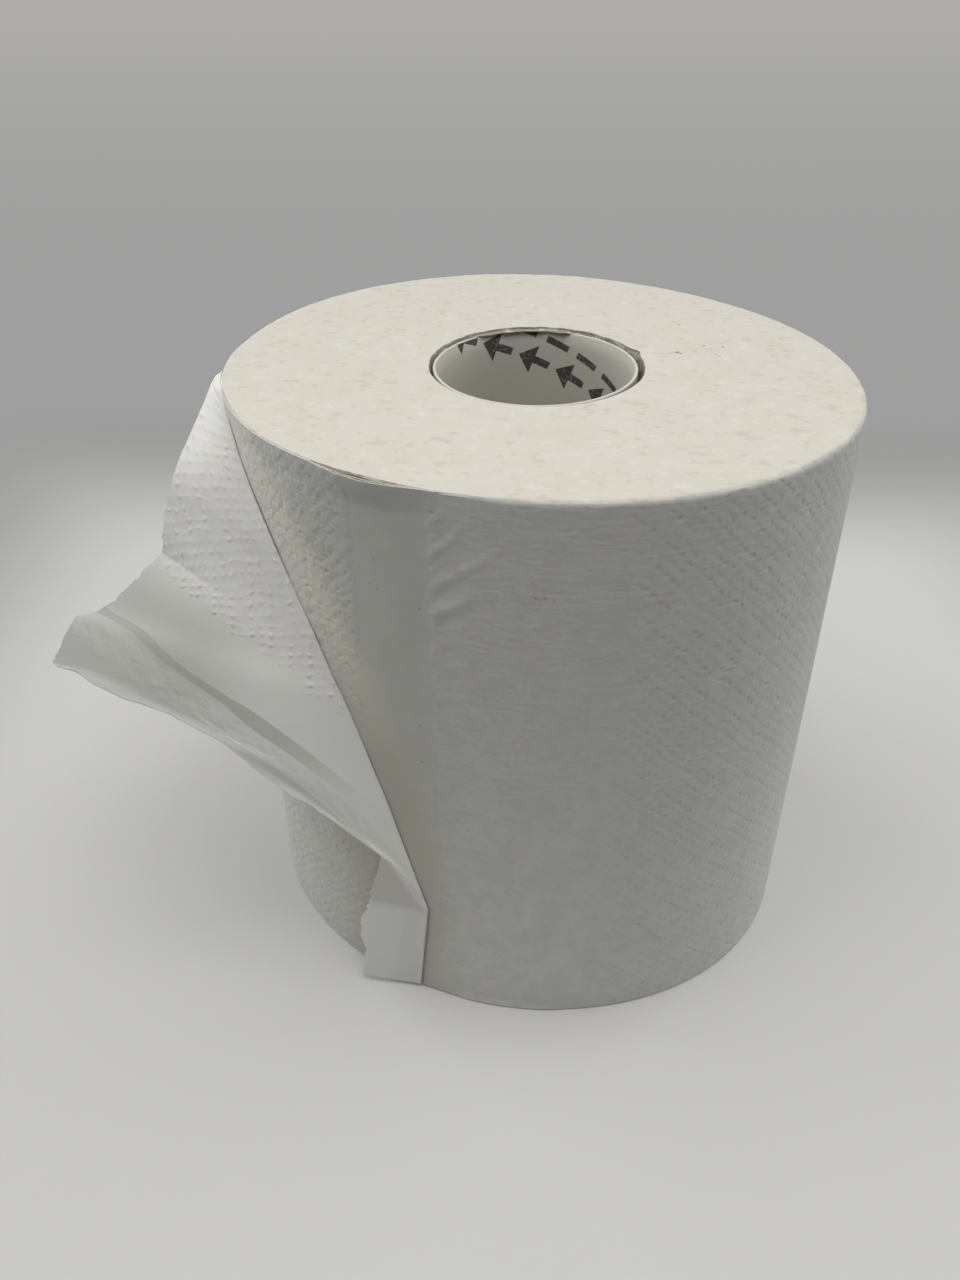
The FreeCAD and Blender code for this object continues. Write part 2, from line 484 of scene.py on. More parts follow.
# The free edge that goes with each point of the fold, from the rim round the torn corner to the
# foot: (azimuth, share of the web's width below the rim, millimetres that it stands off the wall).
FREE_EDGE = [
    (-175.0, 0.003, 0.2),
    (-171.5, 0.005, 2.5),
    (-168.0, 0.030, 6.0),
    (-162.0, 0.105, 17.0),
    (-161.0, 0.180, 23.0),
    (-160.0, 0.235, 26.0),
    (-157.5, 0.295, 45.0),
    (-156.5, 0.300, 55.0),
    (-154.5, 0.350, 64.0),
    (-150.5, 0.375, 53.0),
    (-141.0, 0.440, 33.0),
    (-131.5, 0.530, 18.5),
    (-117.0, 0.650, 7.5),
    (-120.0, 0.730, 5.5),
    (-124.0, 0.820, 3.0),
    (-124.5, 0.985, 8.0),
]

# Waves of the web's end edge: (distance down it, how far it stands out), in millimetres.
EDGE_WAVES = [
    (-10.0, 0.0), (0.0, 0.6), (3.0, 1.0), (8.0, 0.1), (15.0, 1.4),
    (25.0, 1.4), (32.0, 0.3), (39.0, -0.8), (50.0, -0.6), (58.0, -0.8),
    (66.0, 0.0), (78.0, 1.2), (88.0, 1.2), (96.0, 0.4), (150.0, 0.2),
    (164.0, -0.3), (171.0, 2.2), (179.0, 1.3), (185.0, -0.5), (300.0, 0.0),
]

# Stations of these lists where the tail bends sharply, and the station at its torn corner.
BENDS = [5, 8, 12, 14]
CORNER = 8
LAST = len(FOLD) - 1

# How far each bend is smoothed inside the sheet, in stations; the station of the ridge and how far
# it bows up; and how far the tail springs out from the fold, as a share of its reach.
SOFT_REACH = 1.0
RIDGE = 12
RIDGE_BOW = 1.5 * MM
SPRING = 0.22

# The tail's swells, as the wall's: of its wrinkled strip, of the line where the embossing begins,
# of all of it and of its embossed part.
CRUMPLE_SWELLS = [(0.14 * MM, 2.8 * MM, 2.4 * MM, 12.0)]
EMBOSSED_EDGE = [(3.0 * MM, 8 * MM, 1.0, 13.0)]
TAIL_SWELLS = [(0.45 * MM, 30 * MM, 40 * MM, 14.0)]
PUFFED_SWELLS = [(0.15 * MM, 5 * MM, 5 * MM, 15.0)]

# How far the free edge is ragged, and where the web's end is torn more finely.
RAGGED = 1.0 * MM
FINE_RAGGED = 0.3 * MM
FINE_FROM, FINE_TO = 12 * MM, 140 * MM

# The tail's mesh, the part of it that is tucked under the outermost turn, and the fold's radius.
ROW_STEP = 0.9 * MM
TUCK_COLUMNS = 8
TUCK = 12.0 * MM
ROUND_COLUMNS = 6
FOLD_ROUND = 0.32 * MM
FLAP_COLUMNS = 88


def between(points, station):
    """The point at a station along the smooth path through the points, with corners at the bends."""
    ends = [0, *BENDS, LAST]
    first = max(end for end in ends[:-1] if end <= station or end == 0)
    last = min(end for end in ends if end > first)
    index = min(int(station), last - 1)
    share = station - index
    before = points[index - 1] if index > first else points[index] * 2 - points[index + 1]
    after = points[index + 2] if index + 2 <= last else points[index + 1] * 2 - points[index]
    here, there = points[index], points[index + 1]
    leave, arrive = (there - before) / 2, (after - here) / 2
    return hermite(here, leave, there, arrive, share)


def hermite(start, leave, end, arrive, share):
    """A point on the curve from start to end with those directions at its ends."""
    square, cube = share**2, share**3
    return (
        start * (2 * cube - 3 * square + 1)
        + leave * (cube - 2 * square + share)
        + end * (3 * square - 2 * cube)
        + arrive * (cube - square)
    )


FOLD_WEB = [Vector((along_at(azimuth), share * WIDTH)) for azimuth, share in FOLD]
FOLD_POINTS = [polar(azimuth, outline(azimuth), WIDTH * (1 - share)) for azimuth, share in FOLD]
FREE_POINTS = [
    polar(azimuth, outline(azimuth) + off * MM, WIDTH * (1 - share)) for azimuth, share, off in FREE_EDGE
]


def tail_stations():
    """Stations along the tail, about evenly spaced on its free edge and its fold."""
    stations = []
    for index in range(LAST):
        free = (FREE_POINTS[index + 1] - FREE_POINTS[index]).length
        fold = (FOLD_POINTS[index + 1] - FOLD_POINTS[index]).length
        count = max(2, round(max(free, fold) / ROW_STEP))
        stations += [index + step / count for step in range(count)]
    return stations + [float(LAST)]


STATIONS = tail_stations()


def edge_lengths():
    """How far down the free edge each station lies."""
    lengths = [0.0]
    for before, after in zip(STATIONS, STATIONS[1:]):
        step = between(FREE_POINTS, after) - between(FREE_POINTS, before)
        lengths.append(lengths[-1] + step.length)
    return lengths


def free_web_places():
    """The web places of the free edge: along the web's top edge to its corner, then down its end."""
    lengths = edge_lengths()
    corner = lengths[STATIONS.index(float(CORNER))]
    start = FOLD_WEB[0].x
    places = []
    for length in lengths:
        if length <= corner:
            places.append(Vector((start + (WEB_END - start) * length / corner, 0.0)))
        else:
            places.append(Vector((WEB_END, WIDTH * (length - corner) / (lengths[-1] - corner))))
    return places


def soft_free_point(station):
    """The free edge with its bends smoothed away: they are sharp at the edge alone."""
    near = ease(station, 3.0, 4.5) * (1 - ease(station, 9.0, 10.5))
    spread = [between(FREE_POINTS, station + near * SOFT_REACH * step / 4) for step in range(-4, 5)]
    return sum(spread, Vector()) / len(spread)


def clear_of_wall(place, clearance):
    """The place moved out where it would lie nearer to the wall than the clearance."""
    azimuth = azimuth_of(place)
    short = outline(azimuth) + clearance - hypot(place.x, place.y)
    return place + polar(azimuth, max(short, 0.0), 0.0)


def tail_row(station, free_web):
    """One row of the tail, as (place, web place) from its tuck round the fold to the edge."""
    fold = between(FOLD_POINTS, station)
    free = between(FREE_POINTS, station)
    soft = soft_free_point(station)
    fold_web = between(FOLD_WEB, station)
    outward = Vector((fold.x, fold.y, 0)).normalized()
    onward, behind = min(station + 0.05, LAST), max(station - 0.05, 0)
    ahead = (between(FOLD_POINTS, onward) - between(FOLD_POINTS, behind)).normalized()
    right = ahead.cross(outward).normalized()
    if right.x < 0:
        right = -right
    centre = fold + outward * (FOLD_ROUND + PLY / 2)
    row = []
    for step in range(TUCK_COLUMNS):
        back = TUCK * (1 - step / TUCK_COLUMNS)
        azimuth = azimuth_of(fold) - degrees(back / outline(-140.0))
        sink = -0.35 * MM + 0.5 * MM * ease(step / TUCK_COLUMNS, 0.0, 0.8)
        row.append((polar(azimuth, outline(azimuth) + sink, fold.z), fold_web - Vector((back, 0))))
    for step in range(ROUND_COLUMNS + 1):
        angle = pi * step / ROUND_COLUMNS
        swing = right * sin(angle) - outward * cos(angle)
        row.append((centre + swing * FOLD_ROUND, fold_web))
    start = centre + outward * FOLD_ROUND
    clearance = 0.25 * MM + FOLD_ROUND * ease(station, 0.5, 2.5)
    bow = RIDGE_BOW * ease(station, RIDGE - 0.9, RIDGE) * (1 - ease(station, RIDGE, RIDGE + 1.0))
    for step in range(1, FLAP_COLUMNS + 1):
        share = step / FLAP_COLUMNS
        end = soft.lerp(free, ease(share, 0.3, 1.0))
        chord = end - start
        push = chord.length * SPRING * ease(station, 4.0, 7.0) * (1 - ease(station, 11.0, 12.0))
        leave = chord + outward * push
        place = hermite(start, leave, end, chord, share) + Vector((0, 0, 4 * bow * share * (1 - share)))
        row.append((clear_of_wall(place, clearance), fold_web.lerp(free_web, share)))
    return row


def tail_crumple(web_place, flatness):
    """The tail's wrinkles, as a height off its smooth surface."""
    along, down = web_place
    inset = WEB_END - along
    slanted = inset - STRIP_DRIFT * (ease(down, 0.0, 18 * MM) + ease(down, 20 * MM, 90 * MM))
    band = within(slanted, *WRINKLED_STRIP, 2.0 * MM) * (1 - 0.6 * ease(down, 0.05, 0.10))
    crumple = 0.34 * MM * band * rough(down / (6 * MM) + inset / (7 * MM), inset / (5 * MM), 11.0)
    crumple += band * swell(CRUMPLE_SWELLS, down, inset)
    edge = EMBOSSED_FROM + swell(EMBOSSED_EDGE, down)
    embossed = ease(inset, edge - 1.5 * MM, edge + 1.5 * MM)
    relief = swell(TAIL_SWELLS, along, down) + embossed * swell(PUFFED_SWELLS, along, down)
    return (crumple + relief) * flatness


def edge_wave(down):
    """How far the web's end edge stands out at that distance down it."""
    for (start, here), (end, there) in zip(EDGE_WAVES, EDGE_WAVES[1:]):
        if down < end * MM:
            return MM * (here + (there - here) * ease(down, start * MM, end * MM))
    return 0.0


def make_tail():
    """The tail: from its tuck under the outermost turn, round the fold, to its torn edges."""
    free_web = free_web_places()
    table = [tail_row(station, web) for station, web in zip(STATIONS, free_web)]
    columns, rows = len(table[0]) - 1, len(table) - 1
    smooth_places = [[place for place, _ in row] for row in table]

    def normal_at(i, j):
        wide = smooth_places[j][min(i + 1, columns)] - smooth_places[j][max(i - 1, 0)]
        tall = smooth_places[min(j + 1, rows)][i] - smooth_places[max(j - 1, 0)][i]
        return wide.cross(tall).normalized()

    def edge_out(j):
        """The direction in the sheet, square to its free edge, at that row."""
        ahead, behind = smooth_places[min(j + 2, rows)], smooth_places[max(j - 2, 0)]
        tangent = (ahead[columns] - behind[columns]).normalized()
        out = smooth_places[j][columns] - smooth_places[j][columns - 3]
        return (out - tangent * out.dot(tangent)).normalized()

    outs = [edge_out(j) for j in range(rows + 1)]

    def place(i, j):
        base, web_place = table[j][i]
        off_fold = (i - TUCK_COLUMNS - ROUND_COLUMNS) / FLAP_COLUMNS
        if off_fold <= 0:
            return base
        normal = normal_at(i, j)
        if normal.y > 0:
            normal = -normal
        lifted = base + normal * tail_crumple(web_place, ease(off_fold, 0.0, 0.15))
        free_web = table[j][columns][1]
        on_end = free_web.x > WEB_END - 0.01 * MM
        ragged = FINE_RAGGED if on_end and FINE_FROM < free_web.y < FINE_TO else RAGGED
        step = free_web.x / (3.2 * MM) - free_web.y / (3.6 * MM)
        tear = ragged * (rough(step, 0.0, 21.0) + 0.5 * rough(step * 2.7, 0.0, 22.0))
        if on_end:
            tear += edge_wave(free_web.y)
        return lifted + outs[j] * tear * ease(off_fold, 0.85, 1.0) * ease(STATIONS[j], 2.0, 4.5)

    tail = grid_piece("tail", columns, rows, place, lambda i, j: table[j][i][1])
    edit(tail)
    bpy.ops.mesh.normals_make_consistent(inside=False)
    bpy.ops.object.mode_set(mode="OBJECT")
    thicken(tail, PLY)
    smooth(tail, 60.0)
    return tail


def flat_tail():
    """The flat size of the tail: (width, length), and its area."""
    corners = [Vector((place.x - TUCK, place.y)) for place in FOLD_WEB]
    corners += [Vector((WEB_END, WIDTH)), Vector((WEB_END, 0.0))]
    twice = sum(a.x * b.y - b.x * a.y for a, b in zip(corners, corners[1:] + corners[:1]))
    return (WEB_END - corners[0].x, WIDTH), abs(twice) / 2


# --- The card core ------------------------------------------


def make_core():
    """The card tube, with softened rims and a map of its inside: (round it, height)."""
    bore = CORE_RADIUS - CORE_WALL
    soft = 0.25 * MM
    corners = [
        (bore, soft, 40),
        (bore, CORE_TOP - soft, 1),
        (bore + soft, CORE_TOP, 1),
        (CORE_RADIUS - soft, CORE_TOP, 1),
        (CORE_RADIUS, CORE_TOP - soft, 1),
        (CORE_RADIUS, soft, 1),
        (CORE_RADIUS - soft, 0.0, 1),
        (bore + soft, 0.0, 1),
        (bore, soft, 1),
    ]
    core = turned_piece("card_core", corners, 128)
    for vertex in core.data.vertices:
        spread = 1 + CORE_FLARE * ease(vertex.co.z, CORE_TOP - 9 * MM, CORE_TOP) / CORE_RADIUS
        vertex.co = Vector((vertex.co.x * spread, vertex.co.y * spread, vertex.co.z))
    half = FULL_TURN / 2
    map_round(core, "inside", half, lambda azimuth, height: (radians(azimuth) * bore, height))
    smooth(core)
    return core


# --- Materials ----------------------------------------------


class Wire:
    """A socket in a node tree. Arithmetic on it adds Math nodes."""

    def __init__(self, socket):
        self.socket = socket
        self.tree = socket.id_data

    def node(self, kind, inputs, output=0, **settings):
        """A new node of this tree, as add_node makes it."""
        return add_node(self.tree, kind, inputs, output, **settings)

    def maths(self, operation, *others, turn=False):
        """A Math node of this wire and the others, in that order, or with this wire last."""
        values = [*others, self] if turn else [self, *others]
        return self.node("Math", dict(enumerate(values)), operation=operation)

    def parts(self):
        """The X and the Y of this vector."""
        split = self.node("SeparateXYZ", {"Vector": self})
        return split, Wire(split.socket.node.outputs[1])

    def bump(self):
        """The bump of this height, which is in metres."""
        return self.node("Bump", {"Height": self, "Distance": 1.0, "Strength": 1.0})

    def __add__(self, other):
        return self.maths("ADD", other)

    def __sub__(self, other):
        return self.maths("SUBTRACT", other)

    def __rsub__(self, other):
        return self.maths("SUBTRACT", other, turn=True)

    def __mul__(self, other):
        return self.maths("MULTIPLY", other)

    def __truediv__(self, other):
        return self.maths("DIVIDE", other)

    __radd__ = __add__
    __rmul__ = __mul__

    def step(self, start, end):
        """0 before start, 1 after end and a smooth rise between them."""
        inputs = {"Value": self, "From Min": start, "From Max": end}
        return self.node("MapRange", inputs, interpolation_type="SMOOTHSTEP")

    def inside(self, start, end, soft):
        """1 between start and end, 0 outside them, with soft sides."""
        return self.step(start - soft, start + soft) * (1 - self.step(end - soft, end + soft))


def add_node(tree, kind, inputs, output=0, **settings):
    """A new shader node: its settings first, then the values or wires of its sockets."""
    node = tree.nodes.new("ShaderNode" + kind)
    for name, value in settings.items():
        if name == "stops":
            set_stops(node.color_ramp, value)
        else:
            setattr(node, name, value)
    for name, value in inputs.items():
        if isinstance(value, Wire):
            tree.links.new(value.socket, node.inputs[name])
        elif value is not None:
            node.inputs[name].default_value = value
    return Wire(node.outputs[output])


def set_stops(ramp, stops):
    """Puts the stops (place, colour) on a colour ramp."""
    for element, (place, _) in zip(ramp.elements, stops):
        element.position = place
    for place, _ in stops[len(ramp.elements):]:
        ramp.elements.new(place)
    for element, (_, colour) in zip(ramp.elements, stops):
        element.color = colour


def mix(factor, first, second):
    """The two colours mixed."""
    inputs = {"Factor": factor, 6: first, 7: second}
    return factor.node("Mix", inputs, output=2, data_type="RGBA")


def new_material(name):
    """A new material and its empty node tree."""
    material = bpy.data.materials.new(name)
    material.use_nodes = True
    material.node_tree.nodes.clear()
    return material, material.node_tree


def finish_material(material, shader):
    """Ends a material's tree with its shader."""
    output = material.node_tree.nodes.new("ShaderNodeOutputMaterial")
    material.node_tree.links.new(shader.socket, output.inputs["Surface"])
    return material


def web_places(tree):
    """The wires of (along, down) on the web, in metres."""
    return add_node(tree, "UVMap", {}, uv_map="web").parts()


def own_place(tree):
    """The place in the object's own coordinates, in metres."""
    return add_node(tree, "TexCoord", {}, output=3)


def grain(tree, scale, detail=3.0, stretch=(1, 1, 1), roughness=0.5):
    """Noise from 0 to 1 over the object's own coordinates, scale cells to the metre."""
    place = own_place(tree)
    place = place.node("VectorMath", {0: place, 1: stretch}, operation="MULTIPLY")
    inputs = {"Vector": place, "Scale": scale, "Detail": detail, "Roughness": roughness}
    return place.node("TexNoise", inputs)


EMBOSS_PITCH = 3.1 * MM
EMBOSS_DEPTH = 0.30 * MM
EMBOSS_DRIFT = 3.2 * MM
TAIL_LEAN = -8.0


def emboss(tree, along, down, lean=0.0):
    """The embossing: dimples on a square lattice turned by 45 degrees, deeper here than there."""
    place = own_place(tree)
    drift = place.node("TexNoise", {"Vector": place, "Scale": 110.0, "Detail": 1.0}, output=1)
    sideways, downward = drift.parts()
    along = along + (sideways - 0.5) * EMBOSS_DRIFT
    down = down + (downward - 0.5) * EMBOSS_DRIFT
    angle = radians(45.0 + lean)
    cell = 2 * pi / EMBOSS_PITCH
    rising = (along * cos(angle) + down * sin(angle)) * cell
    falling = (along * sin(angle) - down * cos(angle)) * cell
    dimples = ((rising.maths("COSINE") + falling.maths("COSINE")) * 0.25 + 0.5).maths("POWER", 3.0)
    rows = (falling * 0.5).maths("COSINE") * 0.2 + 0.8
    return dimples * rows * (grain(tree, 240.0, detail=2.0).step(0.3, 0.7) * 0.85 + 0.15)


def specks(tree, scale, size):
    """Small dark flecks, 1 on a fleck."""
    place = own_place(tree)
    cell = place.node("TexVoronoi", {"Vector": place, "Scale": scale})
    chance, _ = Wire(cell.socket.node.outputs[1]).parts()
    return (1 - cell.step(size * 0.5, size)) * chance.step(0.90, 0.94)


def spots(tree, places):
    """Flecks at these places (point, radius), 1 on a fleck."""
    here = own_place(tree)
    found = None
    for point, radius in places:
        away = here.node("VectorMath", {0: here, 1: point}, output=1, operation="DISTANCE")
        spot = 1 - away.step(0.5 * radius, 1.2 * radius)
        found = spot if found is None else found.maths("MAXIMUM", spot)
    return found


# Flecks of darker pulp that stand out, in millimetres and degrees: on the end face (x, y, radius),
# and on the wall (azimuth, height, radius).
FACE_FLECKS = [
    (45, 11, 0.8), (46, 10, 0.5), (54, 17, 0.5), (60, 16, 0.5),
    (57, 9, 0.4), (58, 8, 0.4), (48, 37, 0.4), (73, 44, 0.4),
]
WALL_FLECKS = [
    (-117.5, 174, 0.4), (-118.5, 166, 0.4), (-117, 165, 0.4), (-110, 121, 0.5),
    (-110, 107, 0.5), (-109, 162, 0.5), (-89, 160, 0.3), (-89, 170, 0.4),
    (-87.5, 170, 0.5), (-86, 169, 0.4),
]


WEB_COLOUR = (0.65, 0.65, 0.626, 1)
WEB_SHADE = (0.605, 0.605, 0.576, 1)
# Painted shade for the hollows of the embossed dimples.
DIMPLE_SHADOW_COLOUR = (0.471, 0.471, 0.453, 1)
TAIL_COLOUR = (0.96, 0.96, 0.945, 1)
TAIL_SHADE = (0.93, 0.93, 0.905, 1)
# The smooth paper's own tone, also a faint painted shade between the tail's raised bumps.
SMOOTH_TONE_AND_SHADE = (0.945, 0.95, 0.92, 1)
# Painted shade for the tail's horn, which is the same paper as the rest.
HORN_SHADE_COLOUR = (0.587, 0.592, 0.572, 1)
RIM_COLOUR = (0.67, 0.675, 0.655, 1)
GLOW_COLOUR = (0.92, 0.92, 0.90, 1)
WRINKLE_COLOUR = (0.80, 0.80, 0.775, 1)
# The glued strip's grey tone, made darker as painted shade.
GLUED_TONE_AND_SHADE = (0.49, 0.50, 0.46, 1)
# Painted shade for the facet under the tail's ridge.
GUSSET_SHADE_COLOUR = (0.66, 0.65, 0.61, 1)
CUT_COLOUR = (0.731, 0.707, 0.641, 1)
CUT_SHADE = (0.679, 0.651, 0.575, 1)
# Painted shade and painted highlight of the end faces' fibrous relief.
DENT_SHADE_COLOUR = (0.604, 0.575, 0.509, 1)
RAISED_HIGHLIGHT_COLOUR = (0.802, 0.783, 0.726, 1)
WARM_COLOUR = (0.773, 0.750, 0.651, 1)
# Painted shade: the warm tint's darker form, used lower down beside the fold.
WARM_PAINTED_SHADE = (0.528, 0.519, 0.424, 1)
# Painted shadow along the wall beside the tail's fold.
FOLD_SHADOW_COLOUR = (0.30, 0.29, 0.24, 1)
# The smooth band's own darker tone, also laid on as painted shade round the band and behind the tail.
BAND_TONE_AND_SHADE = (0.519, 0.519, 0.486, 1)
FLECK = (0.30, 0.27, 0.24, 1)
FACE_FLECK = (0.22, 0.13, 0.11, 1)
LET_THROUGH = 0.12

# How high fibres, dents and a soft unevenness stand: on the web, on the cut edges, on the hidden
# turns and on the card.
WEB_FIBRES, WEB_SOFT = 0.05 * MM, 0.14 * MM
CUT_FIBRES, CUT_DENTS, CUT_SOFT = 0.30 * MM, 0.22 * MM, 0.8 * MM
HIDDEN_FIBRES = 0.2 * MM
CARD_FIBRES = 0.04 * MM

# On the wall: where the web that was pulled flat beside the band ends, where the strip round the band
# that gets painted shade lies, and where the puffed web beside the tail ends.
FLAT_END = -72.0
SHADED_STRIP_START, SHADED_STRIP_END = -134.0, -106.0
PUFFED_END = (-130.0, -121.0)


def web_surface(tree, dimples, strokes, plain, shade):
    """The web's colour and its bump, from how deep the dimples are and the wrinkles' height."""
    fibres = grain(tree, 1100.0, detail=5.0, roughness=0.7)
    soft = grain(tree, 170.0, detail=4.0, roughness=0.6)
    height = fibres * WEB_FIBRES + soft * WEB_SOFT + strokes - dimples * EMBOSS_DEPTH
    tone = mix(soft.step(0.3, 0.7), plain, shade)
    # Painted shade: the colour darkens in the dimples' hollows.
    dimple_shaded = mix(dimples * 0.45, tone, DIMPLE_SHADOW_COLOUR)
    return mix(specks(tree, 190.0, 0.06) * 0.8, dimple_shaded, FLECK), height.bump()


def paper(colour, bump):
    """Matt paper."""
    inputs = {"Base Color": colour, "Roughness": 0.92, "Specular IOR Level": 0.15, "Normal": bump}
    return colour.node("BsdfPrincipled", inputs)


def beside_fold(along, down):
    """How far along the web a place lies past the slanting fold."""
    stops = [(place.y / WIDTH, (place.x / WEB_END,) * 3 + (1,)) for place in FOLD_WEB]
    return along - down.node("ValToRGB", {"Fac": down / WIDTH}, stops=stops) * WEB_END


def wall_material():
    """The web on the roll's wall: embossed but for the smooth band, and pulled flat beside it."""
    material, tree = new_material("wall_paper")
    along, down = web_places(tree)
    ragged = along + (grain(tree, 160.0) - 0.5) * (6 * MM)
    band = ragged.inside(along_at(BAND_START), along_at(BAND_END), 0.8 * MM)
    flat = ragged.inside(along_at(BAND_END), along_at(FLAT_END), 8 * MM)
    dimples = emboss(tree, along, down) * (1 - band) * (0.9 - flat * 0.75)
    wide = along.node("CombineXYZ", {"X": along * 190.0, "Y": down * 520.0})
    strokes = wide.node("TexNoise", {"Vector": wide, "Scale": 1.0, "Detail": 2.0})
    left = 1 - along.step(*map(along_at, PUFFED_END))
    puffs = (grain(tree, 330.0, detail=2.0) - 0.5) * (0.6 * MM) * left
    strokes = (strokes - 0.5) * (0.25 * MM) * (1 - band) + puffs
    colour, bump = web_surface(tree, dimples, strokes, WEB_COLOUR, WEB_SHADE)
    # Painted shade over the strip round the band; the band itself gets a little more for its own darker
    # tone.
    shaded_strip = ragged.inside(along_at(SHADED_STRIP_START), along_at(SHADED_STRIP_END), 9 * MM)
    colour = mix(shaded_strip * 0.4 + band * 0.12, colour, BAND_TONE_AND_SHADE)
    # Painted shade on the lower wall behind the tail.
    colour = mix(left * down.step(100 * MM, 130 * MM) * 0.3, colour, BAND_TONE_AND_SHADE)
    past = beside_fold(along, down)
    width = 25 * MM - down * 0.12
    near = (past + (grain(tree, 60.0) - 0.5) * (10 * MM)).inside(-30 * MM, width, 6 * MM)
    # A warm tint on the wall beside the fold; lower down it turns darker, which is painted shade beside
    # the fold.
    colour = mix(near * 0.7, colour, mix(down.step(45 * MM, 110 * MM), WARM_COLOUR, WARM_PAINTED_SHADE))
    # Painted shadow: a thin dark line on the wall just past the fold.
    colour = mix(past.inside(-2.0 * MM, 0.8 * MM, 0.8 * MM) * 0.5, colour, FOLD_SHADOW_COLOUR)
    places = [(polar(a, outline(a), height * MM), radius * MM) for a, height, radius in WALL_FLECKS]
    colour = mix(spots(tree, places) * 0.6, colour, FLECK)
    return finish_material(material, paper(colour, bump))


def tail_material():
    """The tail's single thickness, which lets some light through, and the strips beside its end."""
    material, tree = new_material("tail_paper")
    along, down = web_places(tree)
    inset = WEB_END - along
    ragged = inset + (grain(tree, 150.0) - 0.5) * (9 * MM)
    embossed = ragged.step(EMBOSSED_FROM - 1.0 * MM, EMBOSSED_FROM + 1.0 * MM)
    puffed = 1.4 - ragged.step(EMBOSSED_FROM, EMBOSSED_FROM + 14 * MM) * 0.4
    dimples = emboss(tree, along, down, TAIL_LEAN) * embossed * puffed * -1.1
    wide = along.node("CombineXYZ", {"X": along * 420.0, "Y": down * 260.0})
    strokes = wide.node("TexNoise", {"Vector": wide, "Scale": 1.0, "Detail": 2.0})
    slanted = inset - (down.step(0.0, 18 * MM) + down.step(20 * MM, 90 * MM)) * STRIP_DRIFT
    wrinkled = slanted.inside(*WRINKLED_STRIP, 1.5 * MM)
    fading = 1 - down.step(30 * MM, 80 * MM) * 0.7
    strokes = (strokes - 0.5).maths("ABSOLUTE") * (-0.5 * MM) * wrinkled * fading
    colour, bump = web_surface(tree, dimples, strokes, TAIL_COLOUR, TAIL_SHADE)
    # The horn: painted shade darkens its colour, and it lets more light through.
    outer = (1 - inset.step(30 * MM, 58 * MM)) * (1 - down.step(28 * MM, 66 * MM))
    # The smooth paper's own tone, and a faint painted shade on the flat paper between the raised bumps.
    level = (dimples + 0.35).step(0.0, 0.35) * embossed
    colour = mix((1 - embossed) * 0.7 + level * 0.2, colour, SMOOTH_TONE_AND_SHADE)
    colour = mix(outer * 0.85, colour, HORN_SHADE_COLOUR)
    colour = mix(wrinkled * 0.35, colour, WRINKLE_COLOUR)
    # The glued strip: its own grey tone, darkened further as painted shade where it lets less light
    # through.
    edge = slanted + (grain(tree, 60.0) - 0.5) * (1.0 * MM)
    spread = down.step(30 * MM, 80 * MM) * (2.4 * MM) + (GLUE_LINE + GLUE_WIDTH)
    glued = edge.inside(GLUE_LINE, spread, 0.25 * MM) * (1 - down.step(65 * MM, 115 * MM))
    colour = mix(glued * (0.95 - down.step(25 * MM, 70 * MM) * 0.3), colour, GLUED_TONE_AND_SHADE)
    glow = add_node(tree, "BsdfTranslucent", {"Color": GLOW_COLOUR})
    rim = (1 - slanted.step(6.5 * MM, 9.0 * MM)) * (1 - down.step(118 * MM, 126 * MM))
    colour = mix(rim * 0.6 + down.step(157 * MM, 160 * MM) * 0.35, colour, RIM_COLOUR)
    # Painted shade on the facet under the ridge, which also lets less light through.
    shaded_gusset = (down - inset * 1.55).step(122 * MM, 127 * MM) * (1 - down.step(156 * MM, 160 * MM))
    colour = mix(shaded_gusset * 0.75, colour, GUSSET_SHADE_COLOUR)
    through = (LET_THROUGH + outer * 0.127) * (1 - glued * 0.65) * (1 - shaded_gusset * 0.6)
    inputs = {0: through, 1: paper(colour, bump), 2: glow}
    return finish_material(material, colour.node("MixShader", inputs))


def cut_material():
    """The roll's end faces: thousands of cut edges, which look like one soft fibrous face."""
    material, tree = new_material("cut_edges")
    fibres = grain(tree, 520.0, detail=5.0, stretch=(0.5, 1, 1), roughness=0.7)
    dents = grain(tree, 260.0, detail=3.0, stretch=(0.7, 1, 1), roughness=0.6).step(0.2, 0.55)
    soft = grain(tree, 70.0, detail=4.0, roughness=0.6)
    height = fibres * CUT_FIBRES + dents * CUT_DENTS + soft * CUT_SOFT
    tone = mix(soft.step(0.3, 0.8) * 0.5, CUT_COLOUR, CUT_SHADE)
    # Painted shade and painted highlight: dark and light strokes that stand for the fibrous relief's
    # shading.
    marks = grain(tree, 330.0, detail=2.0, stretch=(0.7, 1, 1))
    tone = mix((1 - marks.step(0.30, 0.42)) * 0.55, tone, DENT_SHADE_COLOUR)
    tone = mix(marks.step(0.60, 0.72) * 0.5, tone, RAISED_HIGHLIGHT_COLOUR)
    tone = mix(specks(tree, 150.0, 0.05) * 0.7, tone, FLECK)
    places = [((x * MM, y * MM, WIDTH), radius * MM) for x, y, radius in FACE_FLECKS]
    tone = mix(spots(tree, places) * 0.8, tone, FACE_FLECK)
    return finish_material(material, paper(tone, height.bump()))


# The hidden turns' brownish tone, darkened as painted shadow of the narrow gaps where they show.
GAP_TONE_AND_SHADOW = (0.40, 0.38, 0.33, 1)
GAP_TONE_AND_SHADOW_DARKER = (0.30, 0.28, 0.24, 1)


